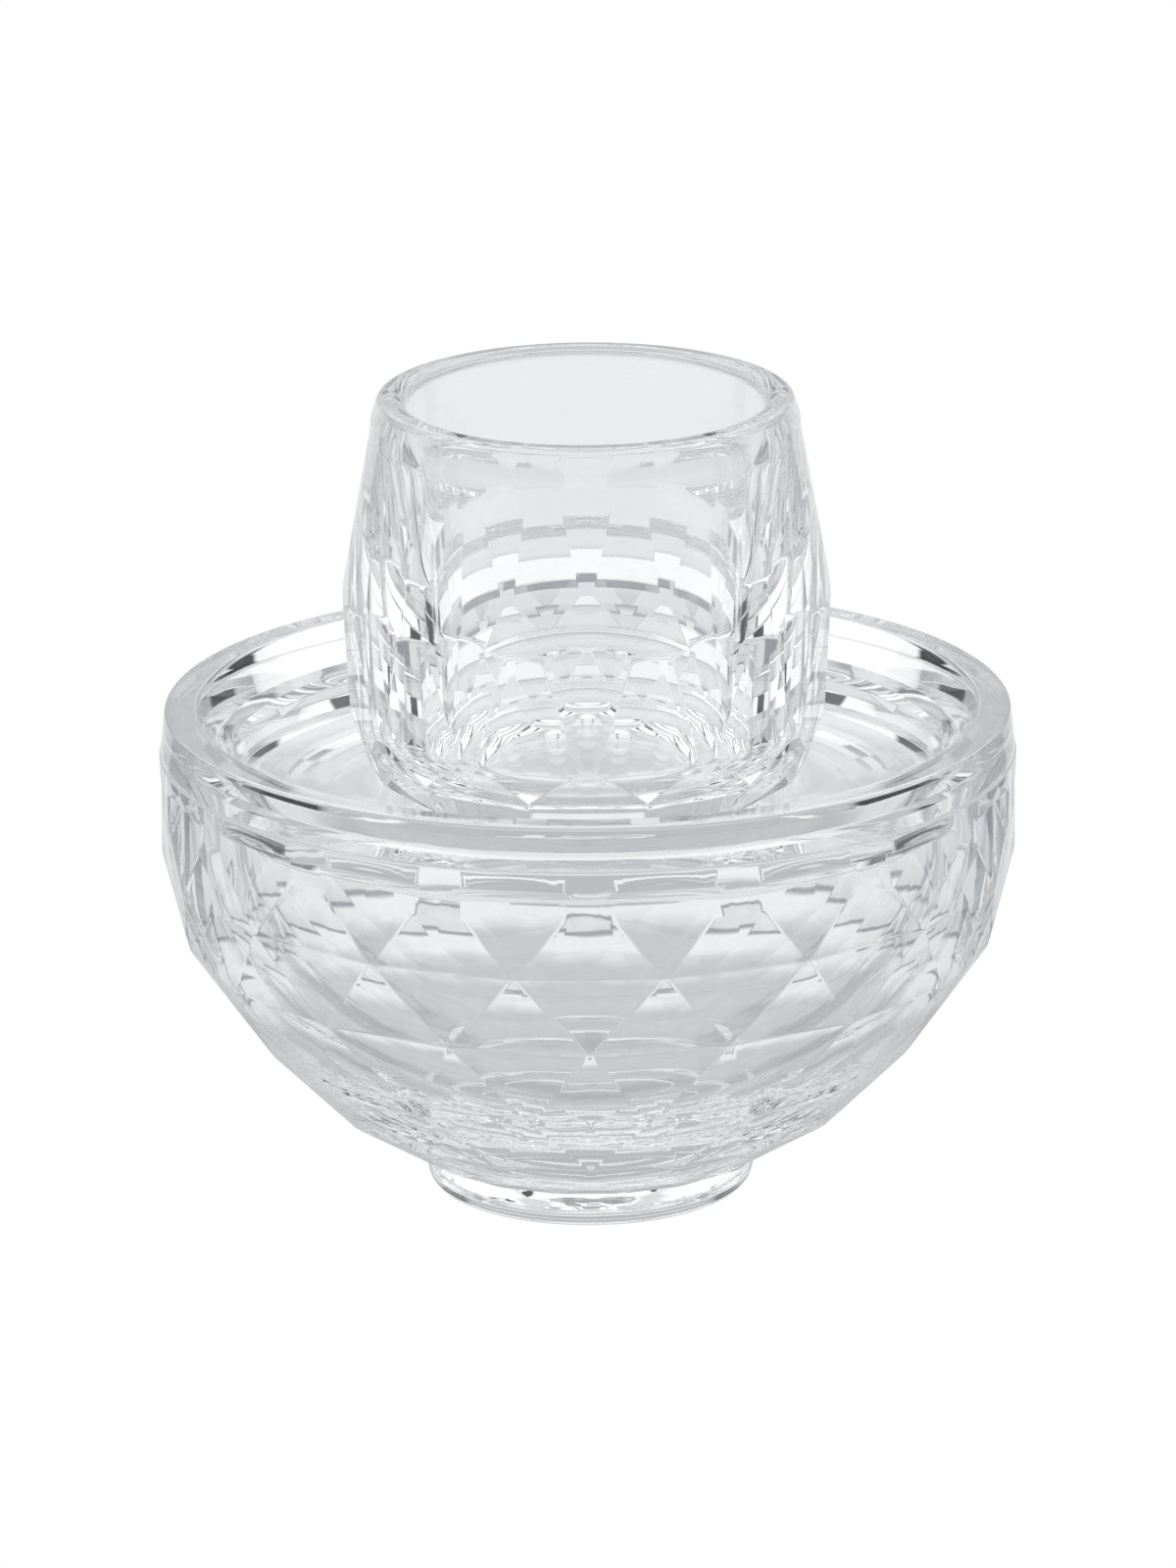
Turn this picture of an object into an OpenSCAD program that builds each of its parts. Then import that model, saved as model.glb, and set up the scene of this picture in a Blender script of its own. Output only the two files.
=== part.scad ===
// Dappen dish of clear cut glass: a thick bowl on a small round foot, a dished lid that
// rests on its rim, and an open cup that stands in the middle of the lid.
// Millimetres, +Z up, origin at the middle of the face that the foot stands on.

/* [Bowl] */
// Radius of the smooth band under the rim, the widest place
bowl_r = 35; // [34:0.1:36]
// Height of the flat rim that the lid rests on
rim_z = 37.3; // [37:0.1:38]
// Radius of the mouth
mouth_r = 31.2; // [31:0.1:31.5]
// Height of the lowest point of the hollow
hollow_z = 8; // [7.5:0.1:9]
// Radius of the foot
foot_r = 13.4; // [13:0.1:13.8]
// Height of the foot
foot_h = 3.5; // [3.2:0.1:3.8]
// Radius of the rounded lower edge of the foot
foot_edge = 1.7; // [1:0.1:2]
// Radius of the shallow hollow under the foot
foot_hollow_r = 9.2; // [8:0.1:10]
// Depth of the shallow hollow under the foot
foot_hollow_d = 0.7; // [0.4:0.1:1]

/* [Lid] */
// Radius of the lid
lid_r = 34.85; // [34.5:0.05:34.9]
// Height of the lid's edge
lid_edge_h = 3.6; // [3.3:0.1:4]
// Radius of the opening of the dish in the lid
dish_r = 31.6; // [31.4:0.1:31.9]
// Radius where the sloping wall of the dish meets its floor
dish_floor_r = 28.9; // [28.5:0.1:29.2]
// Height of the dish floor at its wall, above the rim of the bowl
dish_step = 0.2; // [0:0.1:0.4]
// Depth of the middle of the dish below the rim of the bowl
dish_drop = 2; // [1.8:0.1:2.2]
// Gap between the lid's plug and the bowl's mouth
plug_gap = 0.4; // [0.3:0.05:0.5]
// Depth of the plug below the rim of the bowl
plug_h = 4.1; // [4:0.1:4.4]

/* [Cup] */
// Radius of the smooth upper part where it meets the cuts, the widest place
girdle_r = 20; // [19.9:0.05:20.1]
// Height of the cup
cup_h = 31.6; // [31:0.1:32]
// Radius of the lip, outside
lip_r = 17; // [16.9:0.1:17.1]
// Thickness of the lip
lip_t = 2.6; // [2.5:0.1:2.7]
// Radius of the cup's hollow near its floor
well_r = 13; // [12.8:0.1:13.2]
// Thickness of the cup's floor
cup_floor = 1.9; // [1.7:0.1:2.2]
// Radius of the corners of the face that the cup stands on
cup_base_r = 17.2; // [17:0.1:17.5]

/* [Cuts] */
// Number of cuts round the bowl
bowl_cuts = 18; // [16:1:20]
// Number of cuts round the cup
cup_cuts = 12; // [11:1:13]

/* [Hidden] */
$fn = 96;

glass = [0.86, 0.88, 0.90, 0.45];
overlap = 1;
corner_steps = 6;

// Outline of the bowl: a flattened quarter oval below the smooth band.
band_z = 30.3;
oval_h = 30;
oval_power = 1.52;
oval_root = 0.487;
band_r = bowl_r - 0.05;
band_edge = 0.15;

// Outline of the bowl's hollow, a fuller oval.
hollow_top = rim_z - 3.3;
hollow_power = 2.4;
hollow_steps = 22;

// Heights of the rings of corners where the bowl's cuts meet. The lowest ring is tucked into
// the foot, the next four stand a little proud of the outline, and the top two stand out past
// the smooth band, which cuts them off in scallops.
foot_tuck = 0.5;
ring_z = [foot_h - foot_tuck, 8.1, 13.8, 21.7, 28.4, 35.6, rim_z + 2];
cut_proud = 0.15;
scallop_low = 0.2;
scallop_high = 1.2;

// The lid, from the rim of the bowl up.
lid_top = rim_z + lid_edge_h;
lid_under = rim_z - plug_h;
dish_low = rim_z - dish_drop;
lid_edge = 0.3;
lid_lean = 0.35;
lid_low_edge = 0.15;
shoulder = 0.6;
plug_r = mouth_r - plug_gap;
plug_taper = 0.5;
plug_edge = 0.8;
dish_steps = 12;

// The cup, from the floor of the dish up.
cup_z = dish_low;
cup_top = cup_z + cup_h;
lip_out = 0.6;
lip_z = cup_top - lip_out;
lip_in = [1.3, 0.9];
well_z = cup_z + cup_floor;
well_edge = 3;
girdle_z = 50;
neck_r = 17.45;
neck_z = 64.1;
neck_bend = 0.3;
heel_z = 40.6;

// The cup's cuts are flat faces that lean, given by how far from the axis they are at two
// heights: tall cuts and heel cuts one above the other, and long cuts between their columns.
tall_cut = [[19.32, heel_z], [19.74, girdle_z]];
long_cut = [[18.85, heel_z], [19.99, girdle_z]];

// Points on an arc about [x, y], from angle a to angle b.
function arc(x, y, r, a, b, n = corner_steps) =
    [for (i = [0:n]) [x + r * cos(a + (b - a) * i / n), y + r * sin(a + (b - a) * i / n)]];

// Radius of the bowl's outline at a height below the smooth band.
function oval(z) =
    let (t = max(0, (band_z - z) / oval_h))
    bowl_r * pow(1 - pow(t, oval_power), oval_root);

// Radius of the bowl's hollow at a height.
function hollow(z) =
    let (t = min(1, max(0, (hollow_top - z) / (hollow_top - hollow_z))))
    mouth_r * pow(1 - pow(t, hollow_power), 1 / hollow_power);

// Corners of a ring: the first is at the front, or half a cut round when the ring is odd.
function ring(r, z, n, odd) =
    [for (i = [0:n - 1])
        let (a = (i + (odd ? 0.5 : 0)) * 360 / n)
        [r * sin(a), -r * cos(a), z]];

// Triangles between ring k and ring k + 1, with the corners of one between those of the other.
function band_faces(k, n, odd) =
    [for (i = [0:n - 1])
        let (a = k * n + i, b = k * n + (i + 1) % n)
        let (c = (k + 1) * n + i, d = (k + 1) * n + (i + 1) % n)
        each (odd ? [[a, b, d], [a, d, c]] : [[a, b, c], [b, d, c]])];

// A body of triangular cuts, through rings given as [radius, height] from the bottom up.
module cut_body(rings, n, first_odd) {
    last = len(rings) - 1;
    points = [for (k = [0:last]) each ring(rings[k][0], rings[k][1], n, (k % 2 == 1) != first_odd)];
    sides = [for (k = [0:last - 1]) each band_faces(k, n, (k % 2 == 1) != first_odd)];
    floor_face = [for (i = [0:n - 1]) i];
    top_face = [for (i = [n - 1:-1:0]) last * n + i];
    faces = concat([floor_face], [for (f = sides) [f[2], f[1], f[0]]], [top_face]);
    polyhedron(points = points, faces = faces, convexity = 6);
}

module bowl_envelope() {
    rotate_extrude()
        polygon(concat(
            [[0, foot_h - overlap], [foot_r - foot_edge, foot_h - overlap]],
            [[band_r, foot_h + overlap]],
            arc(band_r - band_edge, rim_z - band_edge, band_edge, 0, 90),
            [[0, rim_z]]));
}

module bowl_cut_body() {
    half = cos(180 / bowl_cuts);
    rings = [
        [oval(foot_h) - foot_tuck, ring_z[0]],
        [oval(ring_z[1]) / half + cut_proud, ring_z[1]],
        [oval(ring_z[2]) + cut_proud, ring_z[2]],
        [oval(ring_z[3]) / half + cut_proud, ring_z[3]],
        [oval(ring_z[4]) + cut_proud, ring_z[4]],
        [bowl_r + scallop_low, ring_z[5]],
        [bowl_r + scallop_high, ring_z[6]]
    ];
    cut_body(rings, bowl_cuts, true);
}

module foot() {
    rotate_extrude()
        polygon(concat(
            [[0, 0]],
            arc(foot_r - foot_edge, foot_edge, foot_edge, -90, 0),
            [[foot_r, foot_h], [foot_r - foot_edge, foot_h + overlap], [0, foot_h + overlap]]));
}

module bowl_hollow() {
    span = hollow_top - hollow_z;
    curve = [for (i = [0:hollow_steps])
        let (z = hollow_z + span * pow(i / hollow_steps, 2))
        [hollow(z), z]];
    rotate_extrude()
        polygon(concat(curve, [[mouth_r, rim_z + overlap], [0, rim_z + overlap]]));
}

module bowl() {
    color(glass)
    difference() {
        union() {
            intersection() {
                bowl_envelope();
                bowl_cut_body();
            }
            foot();
        }
        bowl_hollow();
        translate([0, 0, -overlap])
            cylinder(r = foot_hollow_r, h = foot_hollow_d + overlap);
    }
}

module lid() {
    under = [
        [0, lid_under],
        [plug_r - plug_taper - plug_edge, lid_under],
        [plug_r - plug_taper, lid_under + plug_edge],
        [plug_r, rim_z]
    ];
    wall_floor = [for (i = [0:dish_steps])
        let (t = 1 - i / dish_steps)
        let (r = cup_base_r + 1 + (dish_floor_r - cup_base_r - 1) * t)
        [r, dish_low + (dish_drop + dish_step) * t * t]];
    color(glass)
    rotate_extrude()
        polygon(concat(
            under,
            arc(lid_r - lid_low_edge, rim_z + lid_low_edge, lid_low_edge, -90, 0),
            arc(lid_r - lid_lean - lid_edge, lid_top - lid_edge, lid_edge, 0, 90),
            arc(dish_r + shoulder, lid_top - shoulder, shoulder, 90, 150),
            wall_floor,
            [[0, dish_low]]));
}

// Distance of a leaning cut from the axis at a height.
function reach(cut, z) =
    cut[0][0] + (cut[1][0] - cut[0][0]) * (z - cut[0][1]) / (cut[1][1] - cut[0][1]);

// A tier of equal leaning cuts all round the cup.
module tier(cut, odd) {
    corner = 1 / cos(180 / cup_cuts);
    low_z = cup_z - overlap;
    high_z = cup_top + overlap;
    points = concat(
        ring(reach(cut, low_z) * corner, low_z, cup_cuts, odd),
        ring(reach(cut, high_z) * corner, high_z, cup_cuts, odd));
    sides = [for (i = [0:cup_cuts - 1])
        let (j = (i + 1) % cup_cuts)
        [i + cup_cuts, j + cup_cuts, j, i]];
    floor_face = [for (i = [0:cup_cuts - 1]) i];
    top_face = [for (i = [cup_cuts - 1:-1:0]) cup_cuts + i];
    polyhedron(points = points, faces = concat([floor_face], sides, [top_face]), convexity = 2);
}

module cup_envelope() {
    lean = (girdle_r - neck_r) / (neck_z - girdle_z);
    rotate_extrude()
        polygon(concat(
            [[0, cup_z], [neck_r + lean * (neck_z - cup_z), cup_z]],
            [[neck_r, neck_z], [(neck_r + lip_r) / 2 + neck_bend / 2, (neck_z + lip_z) / 2]],
            arc(lip_r - lip_out, lip_z, lip_out, 0, 90),
            [[0, cup_top]]));
}

module cup_hollow() {
    inside_r = lip_r - lip_t;
    lip_inside = [for (p = arc(0, 0, 1, 180, 90))
        [inside_r + lip_in.x * (p.x + 1), cup_top + lip_in.y * (p.y - 1)]];
    rotate_extrude()
        polygon(concat(
            [[0, well_z]],
            arc(well_r - well_edge, well_z + well_edge, well_edge, -90, 0),
            lip_inside,
            [[inside_r + lip_in.x, cup_top + overlap], [0, cup_top + overlap]]));
}

module cup() {
    color(glass)
    difference() {
        intersection() {
            cup_envelope();
            tier(tall_cut, true);
            tier(long_cut, false);
            tier([[cup_base_r * cos(180 / cup_cuts), cup_z], tall_cut[0]], true);
        }
        cup_hollow();
    }
}

bowl();
lid();
cup();
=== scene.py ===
import math

import bmesh
import bpy
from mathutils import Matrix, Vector, noise


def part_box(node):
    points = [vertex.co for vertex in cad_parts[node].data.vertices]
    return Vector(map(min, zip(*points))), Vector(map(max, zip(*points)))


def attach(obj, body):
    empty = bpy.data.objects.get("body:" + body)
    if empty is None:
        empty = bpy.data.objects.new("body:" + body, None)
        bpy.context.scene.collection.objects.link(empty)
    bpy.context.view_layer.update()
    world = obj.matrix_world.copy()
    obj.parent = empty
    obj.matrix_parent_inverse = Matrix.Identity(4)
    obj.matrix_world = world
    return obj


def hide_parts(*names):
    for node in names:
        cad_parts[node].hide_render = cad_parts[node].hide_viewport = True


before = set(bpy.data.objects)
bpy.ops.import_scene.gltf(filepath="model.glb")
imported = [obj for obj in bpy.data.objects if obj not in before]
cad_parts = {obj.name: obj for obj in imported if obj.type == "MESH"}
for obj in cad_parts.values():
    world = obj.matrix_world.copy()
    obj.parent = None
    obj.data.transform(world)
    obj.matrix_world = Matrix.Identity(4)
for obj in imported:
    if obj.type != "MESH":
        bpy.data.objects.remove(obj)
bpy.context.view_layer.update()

MM = 0.001
TURN = 2 * math.pi

# Sizes that come from the frame, in millimetres.
bowl_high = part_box("bowl")[1] / MM
lid_low, lid_high = (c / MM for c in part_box("lid"))
cup_low, cup_high = (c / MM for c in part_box("cup"))

BAND_R = bowl_high.y  # smooth band under the rim of the bowl
RIM_Z = bowl_high.z
LID_R = lid_high.y
LID_TOP = lid_high.z
LID_UNDER = lid_low.z
CUP_Z = cup_low.z
CUP_TOP = cup_high.z

# The bowl, in millimetres.
BOWL_CUTS = 18
FOOT_R = 13.4
FOOT_H = 3.5
FOOT_EDGE = 1.7
FOOT_TUCK = 0.5  # how far the cuts start below the top of the foot and inside the oval
FOOT_HOLLOW_R = 9.2
FOOT_HOLLOW_D = 0.7
# The outline is an oval: OVAL_R from the axis at OVAL_Z, and closed OVAL_H below that.
OVAL_R = 35.0
OVAL_Z = 30.3
OVAL_H = 30.0
OVAL_POWER = 1.52
OVAL_ROOT = 0.487
# The corners between the cuts lie in rings at these heights, the last one above the rim.
ABOVE_RIM = 2
CUT_RING_Z = (FOOT_H - FOOT_TUCK, 8.1, 13.8, 21.7, 28.4, 35.6, RIM_Z + ABOVE_RIM)
CUT_PROUD = 0.15  # how far the corners stand out from the oval
SCALLOP_LOW = 0.2  # how far the two highest rings stand out from OVAL_R
SCALLOP_HIGH = 1.2
RIM_EDGE = 0.15
MOUTH_R = 31.2
MOUTH_EDGE = 0.5
HOLLOW_Z = 8.0
HOLLOW_TOP = RIM_Z - 3.3
HOLLOW_POWER = 2.4

# The lid, in millimetres.
DISH_R = 31.6  # inner edge of the ring
DISH_FLOOR_R = 28.9  # where its sloping wall meets the floor
DISH_FLAT_R = 18.3  # flat middle of the floor
DISH_DROP = RIM_Z - CUP_Z
DISH_STEP = 0.2  # how far above the rim of the bowl the floor starts
SHOULDER = 0.6
LID_EDGE = 0.3
LID_LOW_EDGE = 0.15
LID_LEAN = 0.35
PLUG_R = 30.8
PLUG_TAPER = 0.5
PLUG_EDGE = 0.8

# The cup, in millimetres.
CUP_CUTS = 12
LIP_R = 17.0
LIP_T = 2.6
LIP_OUT = 0.6  # rounding of the lip outside
LIP_Z = CUP_TOP - LIP_OUT
LIP_IN = (1.3, 0.9)  # rounding of the lip inside: how wide and how high
WELL_R = 13.0
WELL_Z = CUP_Z + 1.9
WELL_EDGE = 3.0
CUP_BASE_R = 17.2
GIRDLE_R = 20.0
GIRDLE_Z = 50.0
NECK_R = 17.45
NECK_Z = 64.1
NECK_BEND = 0.3
HEEL_Z = 40.6
# The cup's cuts lean: (distance from the axis, height) at two heights.
TALL_CUT = ((19.32, HEEL_Z), (19.74, GIRDLE_Z))
LONG_CUT = ((18.85, HEEL_Z), (19.99, GIRDLE_Z))

# Where two faces rest on each other, one or both are drawn back this far, in millimetres.
AIR = 0.02
# Rounding of the edges between cuts, in millimetres, and how many faces it takes.
BOWL_CUT_EDGE = 0.16
CUP_CUT_EDGE = 0.10
EDGE_STEPS = 2
# Shapes that cut or join others reach this far past the face they meet, in millimetres.
PAST = 1
# Faces larger than this, in square millimetres, are cuts and stay flat.
CUT_FACE = 2.4
# Corners sharper than this, in degrees, stay sharp.
SHARP = 24
# How far the flat cuts pull the shading of the rounded edges beside them.
FLAT_WEIGHT = 80
# Sides of a turned shape, and steps along the walls and the roundings of its outline.
SIDES = 256
FLARE_STEPS = 6
WALL_STEPS = 24
HOLLOW_STEPS = 64
MOUTH_STEPS = 4
SLANT_STEPS = 30
ARC_STEPS = 8
FOOT_STEPS = 12
WELL_STEPS = 16
# Rings across the flat faces in the middle, in millimetres from the axis.
LID_UNDER_RINGS = (0, 8, 16, 24)
LID_FLOOR_RINGS = (12, 6, 0)
WELL_RINGS = (0, 4, 8)
# Points nearer the axis than this are on it, in millimetres.
ON_AXIS = 1e-6
# Faces of the cup's body within this angle of each other, in radians, are one cut.
ONE_CUT = 0.002

# Unevenness of the pressed hollows, in millimetres: how wide, how deep, and which pattern.
BOWL_RIPPLE = (7.0, 0.05, 3.1)
CUP_RIPPLE = (12.0, 0.004, 7.7)
# A finer pattern in it, how many times finer and its share, and the share that goes upright.
FINE_RIPPLE = 2.1
FINE_SHARE = 0.4
UPRIGHT_SHARE = 0.6

# Glass: its tint at each face, and how strongly it bends light.
GLASS_TINT = (0.985, 0.988, 0.99)
GLASS_IOR = 1.52
# Faint unevenness of the looks, in millimetres: how wide and how deep.
BOWL_BUMP = (5.0, 0.03)
LID_BUMP = (9.0, 0.02)
CUP_BUMP = (12.0, 0.002)
BUMP_DETAIL = 1.5
BUMP_ROUGHNESS = 0.45

# The stage, in metres: the floor, and how far out its painted shadow changes its brightness.
FLOOR_R = 6.0
FLOOR_SIDES = 96
FLOOR_NEAR = 0.2
# How bright the floor and the room are, as pairs of (where, how bright). The camera itself
# sees plain white: these are what the glass bends. The floor's distances are shares of
# FLOOR_NEAR, and the room's heights run from the floor's level, 0, to straight up, 1.
# The floor's table is a painted shadow: dark under the bowl, brightening outwards, with a
# thin dark ring where the shadow's edge falls.
FLOOR_PAINTED_SHADOW_BY_DISTANCE = (
    (0.0, 0.42),
    (0.08, 0.53),
    (0.136, 0.58),
    (0.2, 0.58),
    (0.275, 0.89),
    (0.336, 0.9),
    (0.356, 0.36),
    (0.37, 0.36),
    (0.384, 0.76),
    (0.48, 0.8),
    (0.6, 0.88),
    (1.0, 0.88),
)
# How much of the painted side shade on the floor shows, by the same distance.
PAINTED_SIDE_SHADE_STARTS = ((0.07, 0.0), (0.12, 0.4), (0.28, 0.4), (0.64, 1.0))
ROOM_BY_HEIGHT = (
    (0.0, 0.6),
    (0.08, 0.5),
    (0.33, 0.54),
    (0.38, 0.95),
    (1.0, 1.3),
)
# All the way round: 0 and 1 are towards the camera, 0.25 is its left, 0.5 is straight ahead
# and 0.75 is its right. The two dips are dark stands in the room. The floor's table is painted
# shade: darker towards the camera and at the two stands, which cast nothing on it.
FLOOR_PAINTED_SHADE_AROUND = (
    (0.0, 0.7),
    (0.25, 0.84),
    (0.338, 0.84),
    (0.342, 0.35),
    (0.388, 0.35),
    (0.392, 0.86),
    (0.43, 1.0),
    (0.57, 1.0),
    (0.608, 0.86),
    (0.612, 0.35),
    (0.658, 0.35),
    (0.662, 0.8),
    (0.75, 0.8),
    (1.0, 0.7),
)
ROOM_AROUND = (
    (0.0, 0.6),
    (0.12, 0.62),
    (0.2, 1.05),
    (0.25, 1.1),
    (0.338, 1.0),
    (0.342, 0.02),
    (0.388, 0.02),
    (0.392, 1.0),
    (0.608, 1.0),
    (0.612, 0.02),
    (0.658, 0.02),
    (0.662, 1.0),
    (0.75, 1.1),
    (0.8, 1.05),
    (0.88, 0.62),
    (1.0, 0.6),
)
# Colour of the light by its brightness: what is dimmer is a little bluer.
LIGHT_TINT = (
    (0.0, (0.75, 0.87, 1.0)),
    (0.5, (0.945, 0.97, 1.0)),
    (0.9, (0.98, 0.99, 1.0)),
    (1.0, (1.0, 1.0, 1.0)),
)

# The camera: how far it looks down, its distance and aim in metres, and its roll.
CAMERA_FALL = math.radians(17.06)
CAMERA_FAR = 0.9
CAMERA_AIM_Z = 0.03396
CAMERA_ROLL = math.radians(-0.4)
# The focal length as a share of the picture's long side, and the sensor in millimetres.
FOCAL_SHARE = 7.0266875
SENSOR = 36
CAMERA_REACH = 50
# Light passes this many faces of glass before it is lost.
MOST_FACES = 96


# ---------------------------------------------------------------- shapes


def arc(x, z, r, start, end, steps=ARC_STEPS):
    """Points on an arc about (x, z), from one angle in degrees to another."""
    points = []
    for i in range(steps + 1):
        a = math.radians(start + (end - start) * i / steps)
        points.append((x + r * math.cos(a), z + r * math.sin(a)))
    return points


def line(a, b, steps):
    """Points from a to b, without the last one."""
    return [
        (a[0] + (b[0] - a[0]) * i / steps, a[1] + (b[1] - a[1]) * i / steps)
        for i in range(steps)
    ]


def oval(z):
    """Radius of the bowl's outline at a height below the smooth band."""
    t = max(0.0, (OVAL_Z - z) / OVAL_H)
    return OVAL_R * (1 - t**OVAL_POWER) ** OVAL_ROOT


def hollow_radius(z):
    """Radius of the bowl's hollow at a height."""
    t = min(1.0, max(0.0, (HOLLOW_TOP - z) / (HOLLOW_TOP - HOLLOW_Z)))
    return MOUTH_R * (1 - t**HOLLOW_POWER) ** (1 / HOLLOW_POWER)


def around_axis(r, a, z):
    """The point at a radius, an angle from the front and a height in millimetres."""
    return (r * math.sin(a) * MM, -r * math.cos(a) * MM, z * MM)


def lathe(profile, wave=None):
    """A closed solid turned from an open profile that starts and ends on the axis."""
    bm = bmesh.new()
    rings = []
    for r, z in profile:
        if r < ON_AXIS:
            rings.append([bm.verts.new((0, 0, z * MM))])
            continue
        ring = []
        for i in range(SIDES):
            a = TURN * i / SIDES
            out, up = wave(r, z, a) if wave else (0.0, 0.0)
            ring.append(bm.verts.new(around_axis(r + out, a, z + up)))
        rings.append(ring)
    for low, high in zip(rings, rings[1:]):
        for i in range(SIDES):
            j = (i + 1) % SIDES
            if len(low) == 1:
                bm.faces.new((low[0], high[i], high[j]))
            elif len(high) == 1:
                bm.faces.new((low[i], high[0], low[j]))
            else:
                bm.faces.new((low[i], high[i], high[j], low[j]))
    bmesh.ops.recalc_face_normals(bm, faces=bm.faces)
    return bm


def cut_body(rings, cuts, first_odd, edge):
    """A solid of triangular cuts through rings of (radius, height), with rounded edges."""
    bm = bmesh.new()
    made = []
    for k, (r, z) in enumerate(rings):
        odd = (k % 2 == 1) != first_odd
        half = 0.5 if odd else 0.0
        made.append(
            [bm.verts.new(around_axis(r, TURN * (i + half) / cuts, z)) for i in range(cuts)]
        )
    bm.faces.new(made[0])
    bm.faces.new(made[-1])
    for k in range(len(rings) - 1):
        odd = (k % 2 == 1) != first_odd
        low, high = made[k], made[k + 1]
        for i in range(cuts):
            j = (i + 1) % cuts
            if odd:
                bm.faces.new((low[i], low[j], high[j]))
                bm.faces.new((low[i], high[j], high[i]))
            else:
                bm.faces.new((low[i], low[j], high[i]))
                bm.faces.new((low[j], high[j], high[i]))
    bmesh.ops.recalc_face_normals(bm, faces=bm.faces)
    return round_edges(bm, edge)


def round_edges(bm, edge):
    """Rounds every edge of a solid a little."""
    bmesh.ops.bevel(
        bm,
        geom=list(bm.edges),
        offset=edge * MM,
        offset_type="OFFSET",
        segments=EDGE_STEPS,
        profile=0.5,
        affect="EDGES",
        clamp_overlap=True,
    )
    return bm


def reach(cut, z):
    """Distance of a leaning cut from the axis at a height."""
    (low_r, low_z), (high_r, high_z) = cut
    return low_r + (high_r - low_r) * (z - low_z) / (high_z - low_z)


def crossing(cut, other, scale):
    """Height where one cut's distance is another's times a scale."""
    gap_low = reach(cut, 0) - scale * reach(other, 0)
    gap_high = reach(cut, 1) - scale * reach(other, 1)
    return gap_low / (gap_low - gap_high)


def leaning_body(edge):
    """The cup's flat cuts as a solid: heel cuts, tall cuts above them, long cuts between."""
    half = math.pi / CUP_CUTS
    heel_cut = ((CUP_BASE_R * math.cos(half), CUP_Z), TALL_CUT[0])
    corners = []
    for i in range(CUP_CUTS):
        middle = TURN * i / CUP_CUTS
        between = middle + half
        valley_z = crossing(heel_cut, LONG_CUT, math.cos(half))
        meet_z = crossing(TALL_CUT, LONG_CUT, math.cos(half))
        for cut, z in (
            (heel_cut, CUP_Z - PAST),
            (heel_cut, valley_z),
            (TALL_CUT, meet_z),
            (TALL_CUT, CUP_TOP + PAST),
        ):
            corners.append((reach(cut, z) / math.cos(half), between, z))
        near = reach(TALL_CUT, HEEL_Z)
        side = (reach(LONG_CUT, HEEL_Z) - near * math.cos(half)) / math.sin(half)
        for across in (side, -side):
            corners.append((math.hypot(near, across), middle + math.atan2(across, near), HEEL_Z))
    bm = bmesh.new()
    for r, a, z in corners:
        bm.verts.new(around_axis(r, a, z))
    bmesh.ops.convex_hull(bm, input=bm.verts)
    bmesh.ops.dissolve_limit(bm, angle_limit=ONE_CUT, verts=bm.verts, edges=bm.edges)
    bmesh.ops.recalc_face_normals(bm, faces=bm.faces)
    return round_edges(bm, edge)


def put(bm, name):
    """A new object with this mesh."""
    mesh = bpy.data.meshes.new(name)
    bm.to_mesh(mesh)
    bm.free()
    obj = bpy.data.objects.new(name, mesh)
    bpy.context.scene.collection.objects.link(obj)
    return obj


def combine(obj, others):
    """Applies exact booleans to obj, in order: others are (operation, object)."""
    for operation, other in others:
        mod = obj.modifiers.new("cut", "BOOLEAN")
        mod.operation = operation
        mod.solver = "EXACT"
        mod.object = other
    graph = bpy.context.evaluated_depsgraph_get()
    mesh = bpy.data.meshes.new_from_object(obj.evaluated_get(graph), depsgraph=graph)
    obj.modifiers.clear()
    obj.data = mesh
    for _, other in others:
        bpy.data.objects.remove(other)
    return obj


def polish(obj, material):
    """Smooth shading with flat cuts and sharp corners."""
    obj.data.materials.clear()
    obj.data.materials.append(material)
    for face in obj.data.polygons:
        face.use_smooth = face.area < CUT_FACE * MM * MM
        face.material_index = 0
    obj.data.set_sharp_from_angle(angle=math.radians(SHARP))
    mod = obj.modifiers.new("flat_cuts", "WEIGHTED_NORMAL")
    mod.keep_sharp = True
    mod.weight = FLAT_WEIGHT
    return obj


def ripple(size, depth, seed):
    """The soft unevenness of a pressed inner wall: a shift along the radius and the height."""

    def wave(r, z, a):
        p = Vector((r * math.sin(a), -r * math.cos(a), z)) / size
        n = noise.noise(p + Vector((seed, 0, 0)))
        m = FINE_SHARE * noise.noise(p * FINE_RIPPLE + Vector((0, seed, 0)))
        return (depth * (n + m), depth * UPRIGHT_SHARE * (n - m))

    return wave


# ---------------------------------------------------------------- materials


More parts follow.
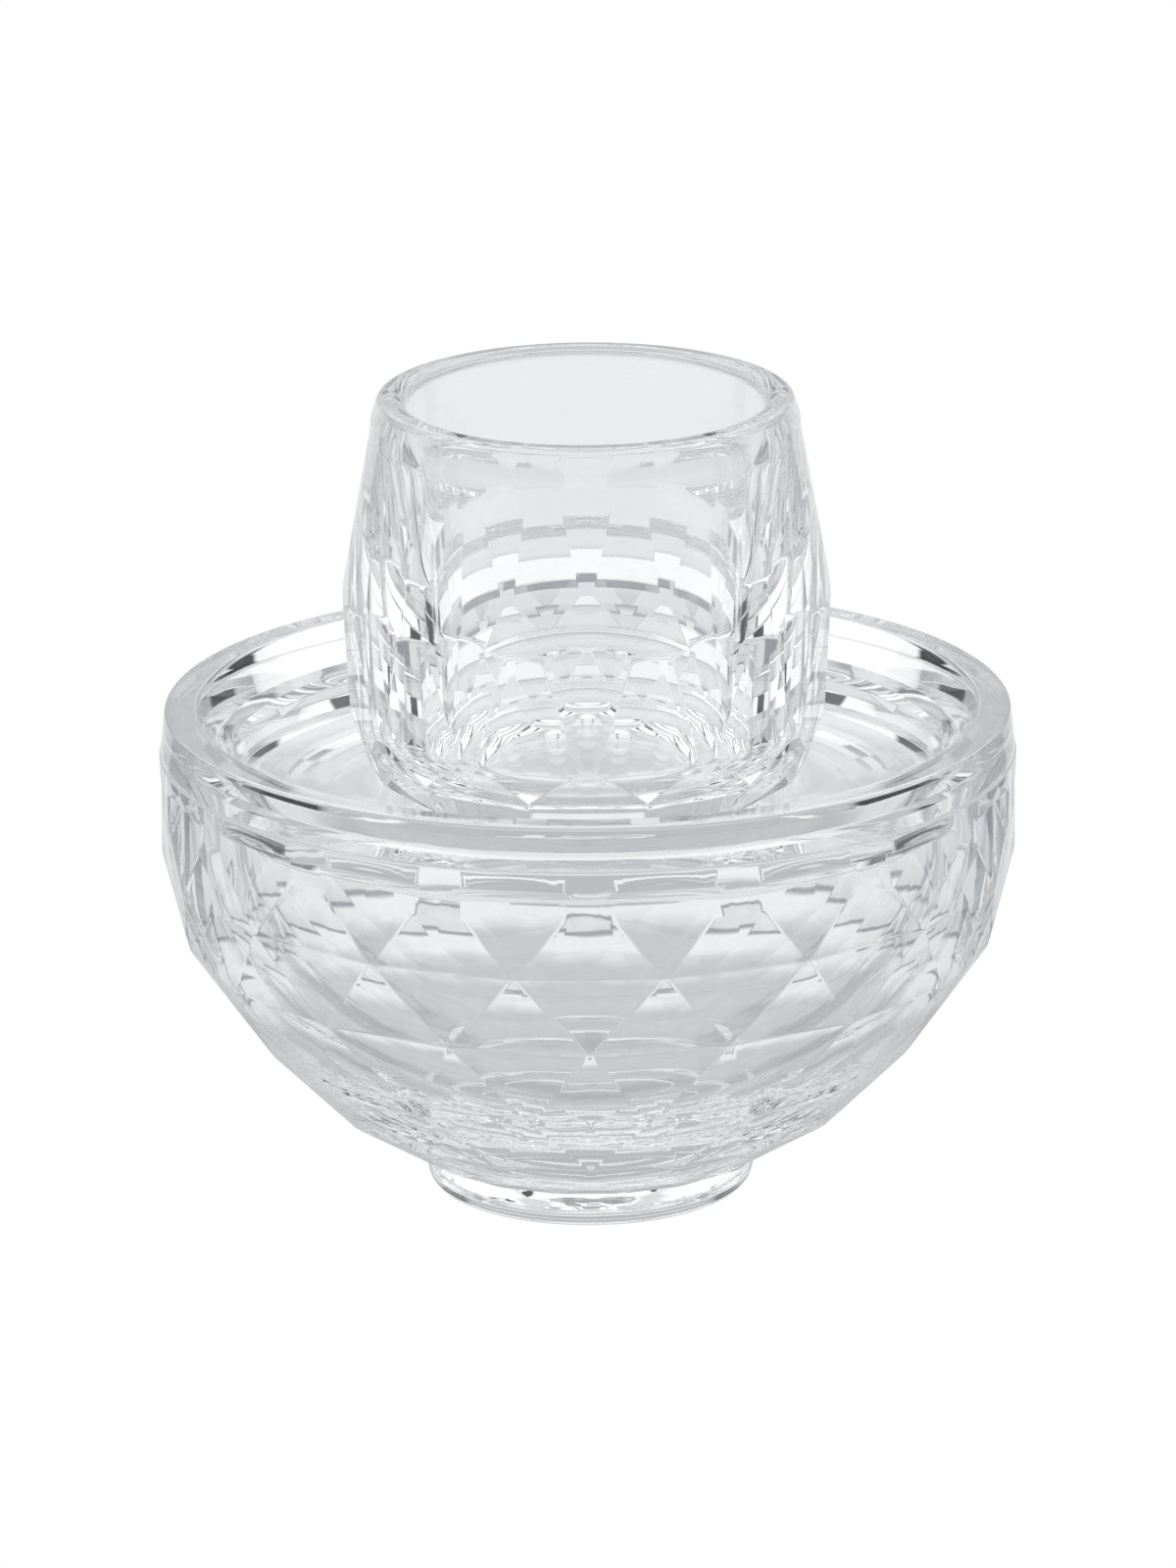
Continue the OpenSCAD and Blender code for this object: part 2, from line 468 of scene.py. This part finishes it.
def glass(name, bump_size, bump_depth):
    """Clear glass with a faint unevenness that bends what is seen through it."""
    mat = bpy.data.materials.new(name)
    mat.use_nodes = True
    nodes, links = mat.node_tree.nodes, mat.node_tree.links
    nodes.clear()
    out = nodes.new("ShaderNodeOutputMaterial")
    shader = nodes.new("ShaderNodeBsdfPrincipled")
    shader.inputs["Base Color"].default_value = (*GLASS_TINT, 1)
    shader.inputs["Transmission Weight"].default_value = 1.0
    shader.inputs["IOR"].default_value = GLASS_IOR
    shader.inputs["Roughness"].default_value = 0.0
    place = nodes.new("ShaderNodeTexCoord")
    slow = nodes.new("ShaderNodeTexNoise")
    slow.inputs["Scale"].default_value = 1 / (bump_size * MM)
    slow.inputs["Detail"].default_value = BUMP_DETAIL
    slow.inputs["Roughness"].default_value = BUMP_ROUGHNESS
    bump = nodes.new("ShaderNodeBump")
    bump.inputs["Strength"].default_value = 1.0
    bump.inputs["Distance"].default_value = bump_depth * MM
    links.new(place.outputs["Object"], slow.inputs["Vector"])
    links.new(slow.outputs["Fac"], bump.inputs["Height"])
    links.new(bump.outputs["Normal"], shader.inputs["Normal"])
    links.new(shader.outputs["BSDF"], out.inputs["Surface"])
    return mat


bowl_glass = glass("bowl_glass_look", *BOWL_BUMP)
lid_glass = glass("lid_glass_look", *LID_BUMP)
cup_glass = glass("cup_glass_look", *CUP_BUMP)


# ---------------------------------------------------------------- bowl


def make_bowl():
    """The bowl: triangular cuts all round, its foot, its hollow and the hollow under it."""
    half = math.cos(math.pi / BOWL_CUTS)
    top = RIM_Z - AIR
    envelope = lathe(
        [(0, FOOT_H - PAST), (FOOT_R - FOOT_EDGE, FOOT_H - PAST)]
        + line((FOOT_R, FOOT_H), (BAND_R, FOOT_H + PAST), FLARE_STEPS)
        + line((BAND_R, FOOT_H + PAST), (BAND_R, top - RIM_EDGE), WALL_STEPS)
        + arc(BAND_R - RIM_EDGE, top - RIM_EDGE, RIM_EDGE, 0, 90)
        + [(0, top)]
    )
    rings = [
        (oval(FOOT_H) - FOOT_TUCK, CUT_RING_Z[0]),
        (oval(CUT_RING_Z[1]) / half + CUT_PROUD, CUT_RING_Z[1]),
        (oval(CUT_RING_Z[2]) + CUT_PROUD, CUT_RING_Z[2]),
        (oval(CUT_RING_Z[3]) / half + CUT_PROUD, CUT_RING_Z[3]),
        (oval(CUT_RING_Z[4]) + CUT_PROUD, CUT_RING_Z[4]),
        (OVAL_R + SCALLOP_LOW, CUT_RING_Z[5]),
        (OVAL_R + SCALLOP_HIGH, CUT_RING_Z[6]),
    ]
    cuts = cut_body(rings, BOWL_CUTS, True, BOWL_CUT_EDGE)
    foot = lathe(
        [(0, 0)]
        + arc(FOOT_R - FOOT_EDGE, FOOT_EDGE, FOOT_EDGE, -90, 0, FOOT_STEPS)
        + [(FOOT_R, FOOT_H), (FOOT_R - FOOT_EDGE, FOOT_H + PAST), (0, FOOT_H + PAST)]
    )
    under = lathe(
        [(0, -PAST), (FOOT_HOLLOW_R, -PAST)]
        + arc(FOOT_HOLLOW_R - FOOT_HOLLOW_D, 0, FOOT_HOLLOW_D, 0, 90)
        + [(0, FOOT_HOLLOW_D)]
    )
    span = HOLLOW_TOP - HOLLOW_Z
    heights = [HOLLOW_Z + span * (i / HOLLOW_STEPS) ** 2 for i in range(HOLLOW_STEPS + 1)]
    curve = [(hollow_radius(z), z) for z in heights]
    hollow = lathe(
        [(0, HOLLOW_Z)]
        + curve[1:]
        + line((MOUTH_R, HOLLOW_TOP), (MOUTH_R, top - MOUTH_EDGE), MOUTH_STEPS)[1:]
        + arc(MOUTH_R + MOUTH_EDGE, top - MOUTH_EDGE, MOUTH_EDGE, 180, 100)
        + [(MOUTH_R + MOUTH_EDGE, top + PAST), (0, top + PAST)],
        ripple(*BOWL_RIPPLE),
    )
    body = put(envelope, "bowl_of_glass")
    return combine(
        body,
        [
            ("INTERSECT", put(cuts, "cuts")),
            ("UNION", put(foot, "foot")),
            ("DIFFERENCE", put(hollow, "hollow")),
            ("DIFFERENCE", put(under, "under")),
        ],
    )


bowl = polish(make_bowl(), bowl_glass)
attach(bowl, "bowl")
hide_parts("bowl")


# ---------------------------------------------------------------- lid


def make_lid():
    """The lid: its plug, its leaning edge and its dish."""
    low = RIM_Z + AIR
    under = [(r, LID_UNDER) for r in LID_UNDER_RINGS]
    under += [
        (PLUG_R - PLUG_TAPER - PLUG_EDGE, LID_UNDER),
        (PLUG_R - PLUG_TAPER, LID_UNDER + PLUG_EDGE),
        (PLUG_R, low),
    ]
    edge = arc(LID_R - LID_LOW_EDGE, low + LID_LOW_EDGE, LID_LOW_EDGE, -90, 0)
    edge += arc(LID_R - LID_LEAN - LID_EDGE, LID_TOP - LID_EDGE, LID_EDGE, 0, 90)
    shoulder = arc(DISH_R + SHOULDER, LID_TOP - SHOULDER, SHOULDER, 90, 150)
    floor = []
    for i in range(WALL_STEPS + 1):
        t = 1 - i / WALL_STEPS
        r = DISH_FLAT_R + (DISH_FLOOR_R - DISH_FLAT_R) * t
        floor.append((r, CUP_Z + (DISH_DROP + DISH_STEP) * t * t))
    floor += [(r, CUP_Z) for r in LID_FLOOR_RINGS]
    return put(lathe(under + edge + shoulder + floor), "dished_lid")


lid = polish(make_lid(), lid_glass)
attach(lid, "lid")
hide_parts("lid")


# ---------------------------------------------------------------- cup


def make_cup():
    """The cup: leaning cuts outside, a smooth lip and a tapering well."""
    base = CUP_Z + AIR
    skirt = NECK_R + (GIRDLE_R - NECK_R) * (NECK_Z - base) / (NECK_Z - GIRDLE_Z)
    envelope = lathe(
        [(0, base)]
        + line((skirt, base), (NECK_R, NECK_Z), SLANT_STEPS)
        + [(NECK_R, NECK_Z), ((NECK_R + LIP_R + NECK_BEND) / 2, (NECK_Z + LIP_Z) / 2)]
        + arc(LIP_R - LIP_OUT, LIP_Z, LIP_OUT, 0, 90)
        + [(0, CUP_TOP)]
    )
    inside_r = LIP_R - LIP_T
    lip_inside = [
        (inside_r + LIP_IN[0] * (x + 1), CUP_TOP + LIP_IN[1] * (y - 1))
        for x, y in arc(0, 0, 1, 180, 90)
    ]
    well = lathe(
        [(r, WELL_Z) for r in WELL_RINGS]
        + arc(WELL_R - WELL_EDGE, WELL_Z + WELL_EDGE, WELL_EDGE, -90, 0, WELL_STEPS)
        + line((WELL_R, WELL_Z + WELL_EDGE), lip_inside[0], WALL_STEPS)[1:]
        + lip_inside
        + [(inside_r + LIP_IN[0], CUP_TOP + PAST), (0, CUP_TOP + PAST)],
        ripple(*CUP_RIPPLE),
    )
    body = put(envelope, "cup_of_glass")
    return combine(
        body,
        [
            ("INTERSECT", put(leaning_body(CUP_CUT_EDGE), "cuts")),
            ("DIFFERENCE", put(well, "well")),
        ],
    )


cup = polish(make_cup(), cup_glass)
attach(cup, "cup")
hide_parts("cup")


# ---------------------------------------------------------------- stage


class Nodes:
    """A few short ways to add shader nodes to a tree."""

    def __init__(self, tree):
        self.nodes, self.links = tree.nodes, tree.links

    def add(self, kind):
        return self.nodes.new("ShaderNode" + kind)

    def math(self, operation, first, second=0.0):
        node = self.add("Math")
        node.operation = operation
        for socket, value in zip(node.inputs, (first, second)):
            if isinstance(value, (int, float)):
                socket.default_value = value
            else:
                self.links.new(value, socket)
        return node.outputs[0]

    def look_up(self, where, stops):
        """Looks a colour or a brightness up in a table of stops."""
        node = self.add("ValToRGB")
        points = node.color_ramp.elements
        while len(points) < len(stops):
            points.new(0.5)
        for point, (at, value) in zip(points, stops):
            point.position = at
            point.color = (*value, 1) if isinstance(value, tuple) else (value, value, value, 1)
        self.links.new(where, node.inputs["Fac"])
        return node.outputs["Color"]

    def around(self, vector):
        """Where a direction points, all the way round: 0.5 is away from the camera."""
        parts = self.add("SeparateXYZ")
        self.links.new(vector, parts.inputs["Vector"])
        angle = self.math("ARCTAN2", parts.outputs["X"], parts.outputs["Y"])
        return self.math("ADD", self.math("DIVIDE", angle, TURN), 0.5)


def make_floor():
    """A plain floor: white to the camera. It glows instead of being lit, and what the glass
    bends shows painted shadow and painted shade in that glow.
    """
    bm = bmesh.new()
    bmesh.ops.create_circle(bm, cap_ends=True, segments=FLOOR_SIDES, radius=FLOOR_R)
    obj = put(bm, "floor")
    obj.location.z = -AIR * MM
    mat = bpy.data.materials.new("floor_painted_shadow")
    mat.use_nodes = True
    shader = mat.node_tree.nodes["Principled BSDF"]
    # The floor is black and glows: its glow carries the painted shadow and shade that the glass
    # shows.
    shader.inputs["Base Color"].default_value = (0, 0, 0, 1)
    shader.inputs["Roughness"].default_value = 1.0
    shader.inputs["Specular IOR Level"].default_value = 0.0
    make = Nodes(mat.node_tree)
    place = make.add("NewGeometry").outputs["Position"]
    length = make.add("VectorMath")
    length.operation = "LENGTH"
    make.links.new(place, length.inputs[0])
    far = make.math("DIVIDE", length.outputs["Value"], FLOOR_NEAR)
    # Painted shadow on the floor: dark under the bowl, with a thin dark ring at its edge.
    painted_shadow = make.look_up(far, FLOOR_PAINTED_SHADOW_BY_DISTANCE)
    # Painted shade on the floor towards the camera and beside the dark stands, growing with
    # distance.
    side_shade_share = make.look_up(far, PAINTED_SIDE_SHADE_STARTS)
    painted_side_shade = make.math("SUBTRACT", 1.0, make.look_up(make.around(place), FLOOR_PAINTED_SHADE_AROUND))
    unshaded_share = make.math("SUBTRACT", 1.0, make.math("MULTIPLY", painted_side_shade, side_shade_share))
    look = make.math("MULTIPLY", painted_shadow, unshaded_share)
    # The camera sees plain white; every other ray sees the painted shadow and shade.
    path = make.add("LightPath")
    mix = make.add("Mix")
    make.links.new(path.outputs["Is Camera Ray"], mix.inputs[0])
    make.links.new(look, mix.inputs[2])
    mix.inputs[3].default_value = 1.0
    tint = make.look_up(mix.outputs[0], LIGHT_TINT)
    make.links.new(tint, shader.inputs["Emission Color"])
    make.links.new(mix.outputs[0], shader.inputs["Emission Strength"])
    obj.data.materials.append(mat)


def make_world():
    """Soft studio light from all round, with two narrow dark stands in it."""
    world = bpy.data.worlds.new("studio")
    bpy.context.scene.world = world
    world.use_nodes = True
    world.node_tree.nodes.clear()
    make = Nodes(world.node_tree)
    out = make.add("OutputWorld")
    soft = make.add("Background")
    toward = make.add("TexCoord").outputs["Generated"]
    parts = make.add("SeparateXYZ")
    make.links.new(toward, parts.inputs["Vector"])
    by_height = make.look_up(parts.outputs["Z"], ROOM_BY_HEIGHT)
    by_side = make.look_up(make.around(toward), ROOM_AROUND)
    look = make.math("MULTIPLY", by_height, by_side)
    make.links.new(look, soft.inputs["Strength"])
    make.links.new(make.look_up(look, LIGHT_TINT), soft.inputs["Color"])
    white = make.add("Background")
    white.inputs["Color"].default_value = (1, 1, 1, 1)
    path = make.add("LightPath")
    mix = make.add("MixShader")
    make.links.new(path.outputs["Is Camera Ray"], mix.inputs["Fac"])
    make.links.new(soft.outputs["Background"], mix.inputs[1])
    make.links.new(white.outputs["Background"], mix.inputs[2])
    make.links.new(mix.outputs["Shader"], out.inputs["Surface"])


make_floor()
make_world()


# ---------------------------------------------------------------- camera

camera_data = bpy.data.cameras.new("camera")
camera_data.sensor_width = SENSOR
camera_data.lens = FOCAL_SHARE * SENSOR
camera_data.clip_end = CAMERA_REACH
camera = bpy.data.objects.new("camera", camera_data)
bpy.context.scene.collection.objects.link(camera)
camera.location = (
    0,
    -CAMERA_FAR * math.cos(CAMERA_FALL),
    CAMERA_AIM_Z + CAMERA_FAR * math.sin(CAMERA_FALL),
)
aim = Vector((0, 0, CAMERA_AIM_Z)) - camera.location
turn = aim.to_track_quat("-Z", "Y").to_matrix().to_4x4()
camera.rotation_euler = turn.to_euler()
camera.rotation_euler.rotate_axis("Z", CAMERA_ROLL)
bpy.context.scene.camera = camera

scene = bpy.context.scene
scene.view_settings.view_transform = "Standard"
scene.cycles.max_bounces = MOST_FACES
scene.cycles.transmission_bounces = MOST_FACES
scene.cycles.glossy_bounces = MOST_FACES
